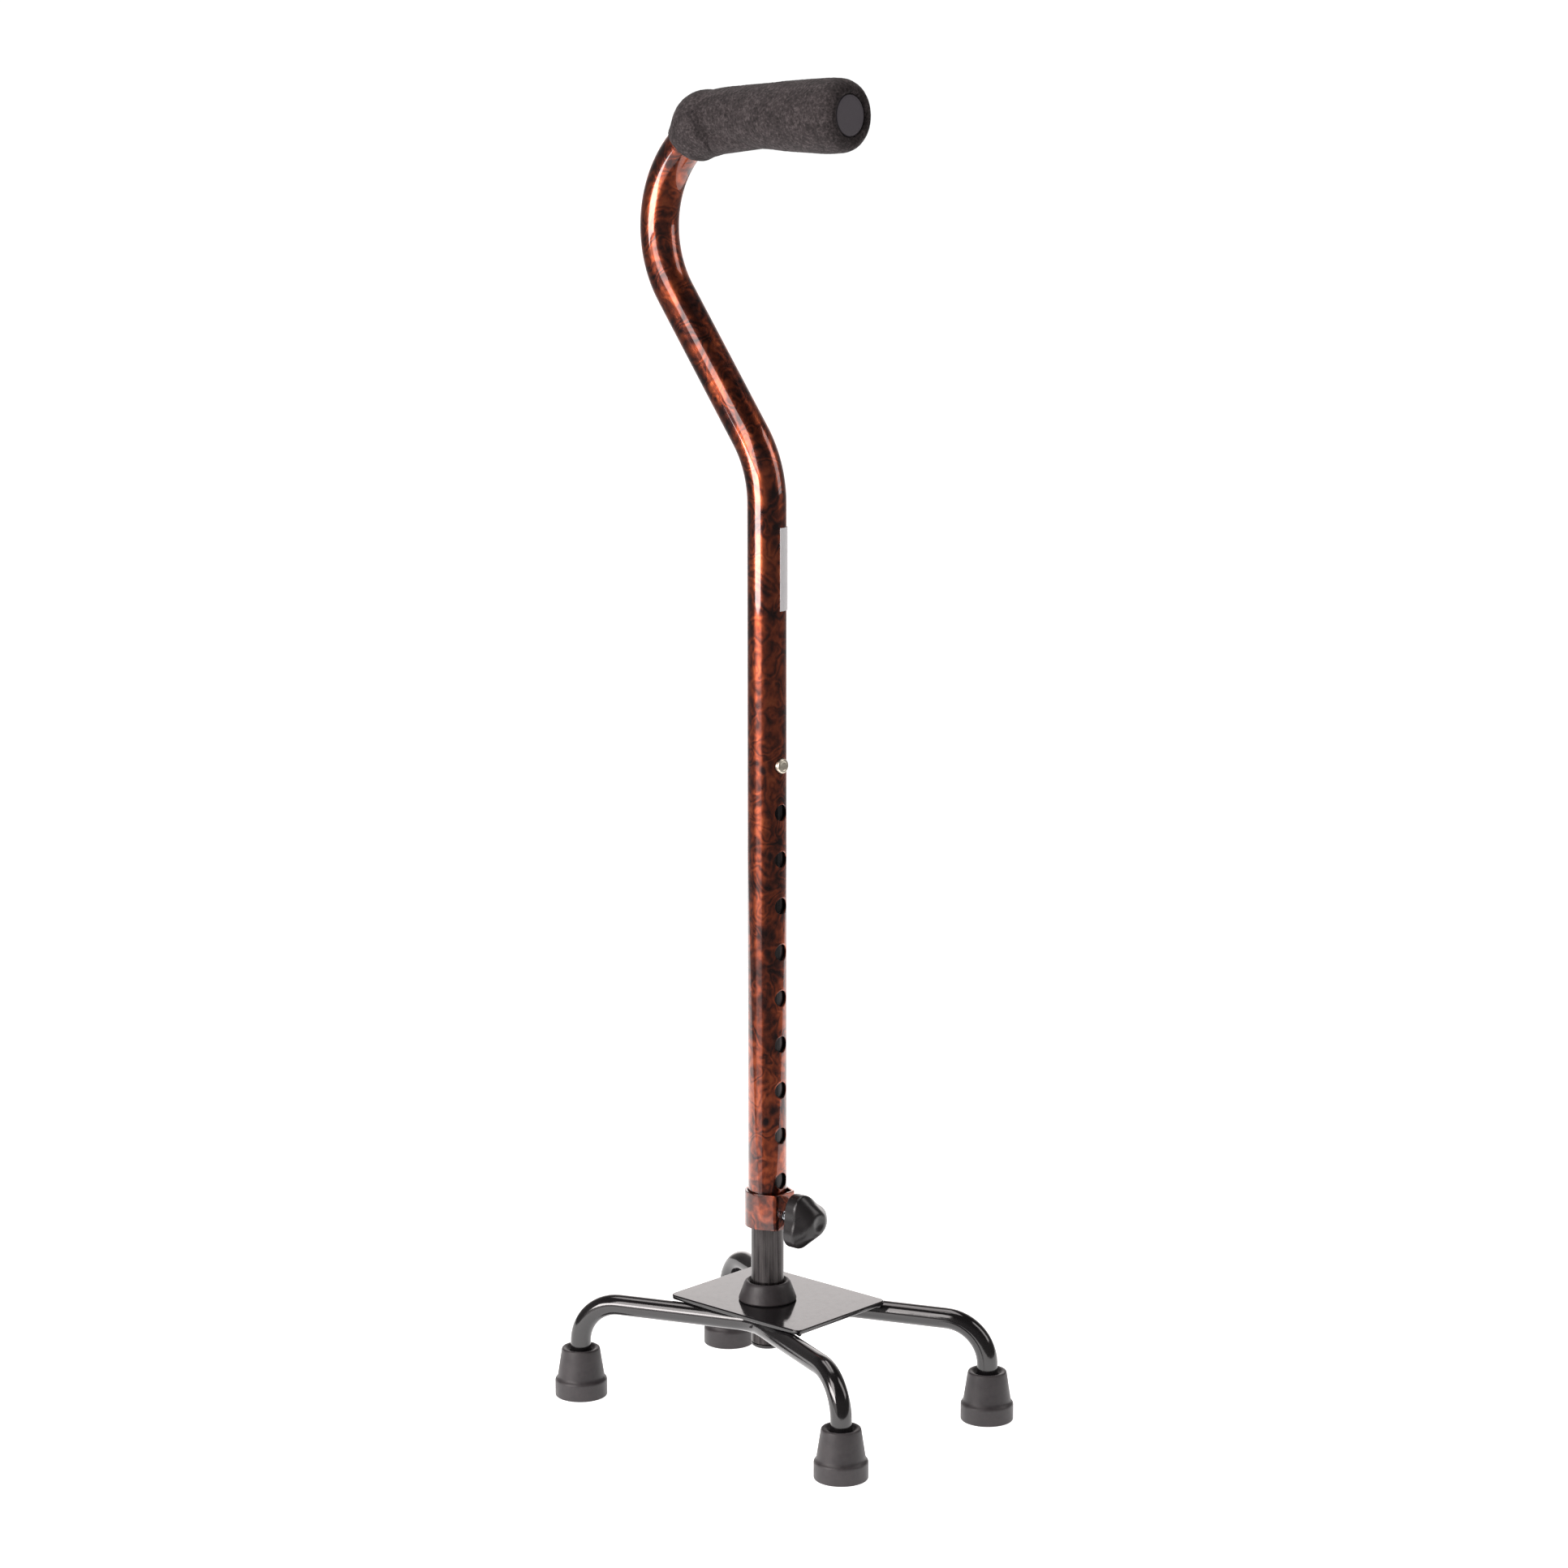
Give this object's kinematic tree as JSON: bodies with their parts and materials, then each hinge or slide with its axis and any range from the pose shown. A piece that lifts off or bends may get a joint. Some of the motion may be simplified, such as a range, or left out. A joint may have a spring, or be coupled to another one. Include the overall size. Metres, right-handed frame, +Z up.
{
  "type": "quad walking cane",
  "caption": "Height-adjustable walking cane with an offset foam-gripped handle, a locking knob, a snap button and a spread base with rubber-tipped feet.",
  "frame": {"origin": "on the ground, at the centre of the four feet", "axes": "+Z up; +X forward, the way the handle points; +Y to the left of a person holding it"},
  "size_m": [0.2252, 0.1524, 0.7347],
  "materials": {
    "bronze_tube": "gloss",
    "black_paint": "gloss",
    "gunmetal_tube": "satin",
    "foot_rubber": "matte",
    "grip_foam": "matte",
    "black_plastic": "satin",
    "grey_plastic": "satin",
    "nylon": "satin",
    "zinc_steel": "satin",
    "spring_steel": "satin",
    "button_metal": "polished",
    "label_paper": "matte"
  },
  "bodies": {
    "base": {"base_plate": "black_paint", "leg_tube_right": "black_paint", "leg_tube_left": "black_paint", "leg_weld_rear_right": "black_paint", "leg_weld_front_right": "black_paint", "leg_weld_rear_left": "black_paint", "leg_weld_front_left": "black_paint", "foot_rear_right": "foot_rubber", "foot_front_right": "foot_rubber", "foot_rear_left": "foot_rubber", "foot_front_left": "foot_rubber", "foot_washer_rear_right": "zinc_steel", "foot_washer_front_right": "zinc_steel", "foot_washer_rear_left": "zinc_steel", "foot_washer_front_left": "zinc_steel", "post_tube": "gunmetal_tube", "post_bottom_plug": "black_plastic", "post_weld": "black_paint", "post_boot": "foot_rubber", "button_spring": "spring_steel"},
    "button": {"snap_button": "button_metal"},
    "guide": {"guide_plug": "nylon"},
    "handle": {"upper_tube": "bronze_tube", "foam_grip": "grip_foam", "handle_plug": "grey_plastic", "label": "label_paper", "collar": "bronze_tube"},
    "screw": {"knob_screw": "zinc_steel"},
    "knob": {"knob": "black_plastic"}
  },
  "joints": [
    {"name": "handle_swivel", "type": "hinge", "parent": "base", "child": "guide", "pos_m": [-0.0037, -0.0081, 0.39], "axis": [0, 0, 1], "range_deg": [0, 180], "deforming": ["snap_button"]},
    {"name": "height_slide", "type": "slide", "parent": "guide", "child": "handle", "axis": [0, 0, 1], "range_m": [0, 0.2331], "deforming": ["snap_button"]},
    {"name": "button_press", "type": "slide", "parent": "base", "child": "button", "axis": [-1, 0, 0], "range_m": [0, 0.0033], "stiffness_N_per_m": 2500, "deforming": ["button_spring"]},
    {"name": "knob_travel", "type": "slide", "parent": "handle", "child": "screw", "axis": [1, 0, 0], "range_m": [0, 0.0021]},
    {"name": "knob_turn", "type": "hinge", "parent": "screw", "child": "knob", "pos_m": [0.025, -0.0081, 0.1149], "axis": [1, 0, 0], "range_deg": [0, 720]}
  ],
  "couplings": [
    {"joint": "knob_travel", "follows": "knob_turn", "m_per_rad": 0.00015915}
  ]
}
